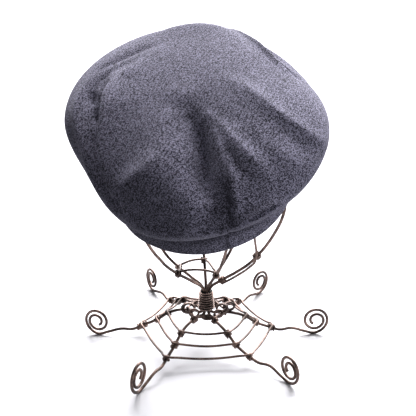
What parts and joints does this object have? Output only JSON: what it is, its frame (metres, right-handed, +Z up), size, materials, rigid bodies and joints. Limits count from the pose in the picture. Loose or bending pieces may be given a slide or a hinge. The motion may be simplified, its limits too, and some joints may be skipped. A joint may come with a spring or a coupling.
{
  "type": "flat cap on a wire hat stand",
  "caption": "Full flat cap in blue-grey wool with a gathered crown, hung on a hat stand of bent bronze wire with a web base, scrolled feet and an open cage.",
  "frame": {"origin": "floor under the middle of the bounding box", "axes": "+Z up, +Y to the cap's peak, -Y to the back of the cap, +X to the right seen from behind"},
  "size_m": [0.2666, 0.2944, 0.3276],
  "materials": {
    "wool": "matt woven wool, blue-grey salt and pepper",
    "bronze_wire": "dark bronze, half gloss"
  },
  "bodies": {
    "root": {"crown": "wool", "band": "wool", "peak": "wool", "cage_top_ring": "bronze_wire", "strand_right": "bronze_wire", "strand_back_right": "bronze_wire", "strand_back_left": "bronze_wire", "strand_left": "bronze_wire", "strand_front_left": "bronze_wire", "strand_front_right": "bronze_wire", "neck_coil": "bronze_wire", "web_ring_hub": "bronze_wire", "web_ring_inner": "bronze_wire", "web_ring_middle": "bronze_wire", "web_ring_outer": "bronze_wire", "cage_tie_ring": "bronze_wire", "cage_stay": "bronze_wire"}
  },
  "joints": []
}
